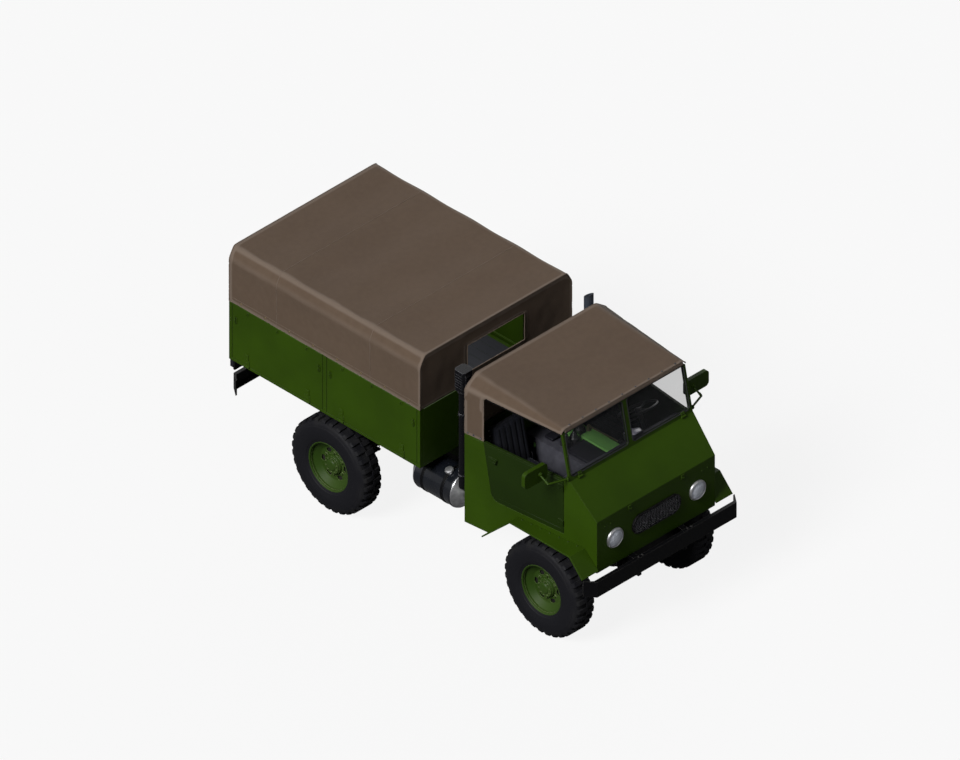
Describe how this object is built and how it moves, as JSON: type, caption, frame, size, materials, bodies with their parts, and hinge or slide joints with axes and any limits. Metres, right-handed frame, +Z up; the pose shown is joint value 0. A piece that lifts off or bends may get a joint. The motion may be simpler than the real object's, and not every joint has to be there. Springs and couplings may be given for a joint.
{
  "type": "light military cargo truck, four-wheel drive, forward control, with canvas covers",
  "caption": "Light forward-control military cargo truck with a canvas cab roof, a covered drop-side load bed, deep-lugged tyres and an upright exhaust",
  "frame": {"origin": "on the ground under the middle of the bounding box", "axes": "+X to the truck's left, +Y to its rear (the front faces -Y), +Z up"},
  "size_m": [2.51, 4.956, 2.553],
  "materials": {
    "body_green": "semi-matt olive green paint",
    "frame_black": "satin black chassis paint",
    "engine_iron": "as cast",
    "floor_grey": "dark grey floor paint",
    "control_black": "matt black",
    "seat_cloth": "black seat cover",
    "canvas_brown": "waxed brown canvas",
    "clear_glass": "clear glass",
    "bright_steel": "bright steel",
    "tank_dark": "dark gloss paint",
    "lamp_red": "red lens in a black case",
    "tyre_rubber": "worn black rubber"
  },
  "bodies": {
    "chassis": {"air_intake": "control_black", "bed_floor": "frame_black", "bed_posts": "body_green", "bumpers": "frame_black", "cab_canvas": "canvas_brown", "cab_floor": "floor_grey", "cab_shell": "body_green", "cargo_tarp": "canvas_brown", "controls": "control_black", "cross_members": "frame_black", "dashboard": "body_green", "driveline": "frame_black", "engine_block": "engine_iron", "engine_cover": "body_green", "exhaust": "bright_steel", "frame_rails": "frame_black", "front_axle": "frame_black", "fuel_tank": "tank_dark", "grille": "control_black", "headboard": "body_green", "headlamp_lenses": "clear_glass", "headlamps": "bright_steel", "mirrors": "body_green", "rear_axle": "frame_black", "roof_hoop": "frame_black", "seat_left": "seat_cloth", "seat_right": "seat_cloth", "springs": "frame_black", "tail_lamps": "lamp_red", "tarp_bows": "frame_black", "tarp_rails": "frame_black", "tow_hitch": "frame_black", "windscreen_frame": "body_green", "windscreen_glass": "clear_glass", "wings": "body_green"},
    "wheel_front_left": {"tyre_front_left": "tyre_rubber", "rim_front_left": "body_green"},
    "wheel_front_right": {"tyre_front_right": "tyre_rubber", "rim_front_right": "body_green"},
    "wheel_rear_left": {"tyre_rear_left": "tyre_rubber", "rim_rear_left": "body_green"},
    "wheel_rear_right": {"tyre_rear_right": "tyre_rubber", "rim_rear_right": "body_green"},
    "door_left": {"door_left": "body_green"},
    "door_right": {"door_right": "body_green"},
    "tailgate": {"tailgate": "body_green"},
    "side_board_front_left": {"side_board_front_left": "body_green"},
    "side_board_front_right": {"side_board_front_right": "body_green"},
    "side_board_rear_left": {"side_board_rear_left": "body_green"},
    "side_board_rear_right": {"side_board_rear_right": "body_green"},
    "steering_wheel": {"steering_wheel": "control_black"},
    "track_rod": {"track_rod": "frame_black"},
    "knuckle_left": {"knuckle_left": "frame_black"},
    "knuckle_right": {"knuckle_right": "frame_black"}
  },
  "joints": [
    {"name": "steer_left", "type": "hinge", "parent": "chassis", "child": "knuckle_left", "pos_m": [0.69, -1.692, 0.515], "axis": [0, 0, 1], "range_deg": [-32, 32]},
    {"name": "steer_right", "type": "hinge", "parent": "chassis", "child": "knuckle_right", "pos_m": [-0.69, -1.692, 0.515], "axis": [0, 0, 1], "range_deg": [-32, 32]},
    {"name": "track_rod_pivot", "type": "hinge", "parent": "knuckle_left", "child": "track_rod", "pos_m": [0.62, -1.932, 0.421], "axis": [0, 0, 1], "range_deg": [-32, 32]},
    {"name": "steering_wheel_turn", "type": "hinge", "parent": "chassis", "child": "steering_wheel", "pos_m": [0.58, -1.502, 1.8], "axis": [0, 0.5, 0.866], "range_deg": [-512, 512]},
    {"name": "roll_front_left", "type": "hinge", "parent": "knuckle_left", "child": "wheel_front_left", "pos_m": [0.815, -1.692, 0.515], "axis": [1, 0, 0], "continuous": true},
    {"name": "roll_front_right", "type": "hinge", "parent": "knuckle_right", "child": "wheel_front_right", "pos_m": [-0.815, -1.692, 0.515], "axis": [1, 0, 0], "continuous": true},
    {"name": "roll_rear_left", "type": "hinge", "parent": "chassis", "child": "wheel_rear_left", "pos_m": [0.815, 1.208, 0.515], "axis": [1, 0, 0], "continuous": true},
    {"name": "roll_rear_right", "type": "hinge", "parent": "chassis", "child": "wheel_rear_right", "pos_m": [-0.815, 1.208, 0.515], "axis": [1, 0, 0], "continuous": true},
    {"name": "door_left_hinge", "type": "hinge", "parent": "chassis", "child": "door_left", "pos_m": [0.85545, -1.915, 1.57], "axis": [0, 0, -1], "range_deg": [0, 70]},
    {"name": "side_board_front_left_hinge", "type": "hinge", "parent": "chassis", "child": "side_board_front_left", "pos_m": [1.044, 0.502, 1.258], "axis": [0, 1, 0], "range_deg": [0, 175]},
    {"name": "side_board_rear_left_hinge", "type": "hinge", "parent": "chassis", "child": "side_board_rear_left", "pos_m": [1.044, 1.803, 1.258], "axis": [0, 1, 0], "range_deg": [0, 175]},
    {"name": "door_right_hinge", "type": "hinge", "parent": "chassis", "child": "door_right", "pos_m": [-0.85545, -1.915, 1.57], "axis": [0, 0, 1], "range_deg": [0, 70]},
    {"name": "side_board_front_right_hinge", "type": "hinge", "parent": "chassis", "child": "side_board_front_right", "pos_m": [-1.044, 0.502, 1.258], "axis": [0, -1, 0], "range_deg": [0, 175]},
    {"name": "side_board_rear_right_hinge", "type": "hinge", "parent": "chassis", "child": "side_board_rear_right", "pos_m": [-1.044, 1.803, 1.258], "axis": [0, -1, 0], "range_deg": [0, 175]},
    {"name": "tailgate_hinge", "type": "hinge", "parent": "chassis", "child": "tailgate", "pos_m": [0, 2.463, 1.258], "axis": [-1, 0, 0], "range_deg": [0, 150]}
  ],
  "couplings": [
    {"joint": "steer_right", "follows": "steer_left", "ratio": 1},
    {"joint": "track_rod_pivot", "follows": "steer_left", "ratio": -1},
    {"joint": "steering_wheel_turn", "follows": "steer_left", "ratio": 16}
  ]
}
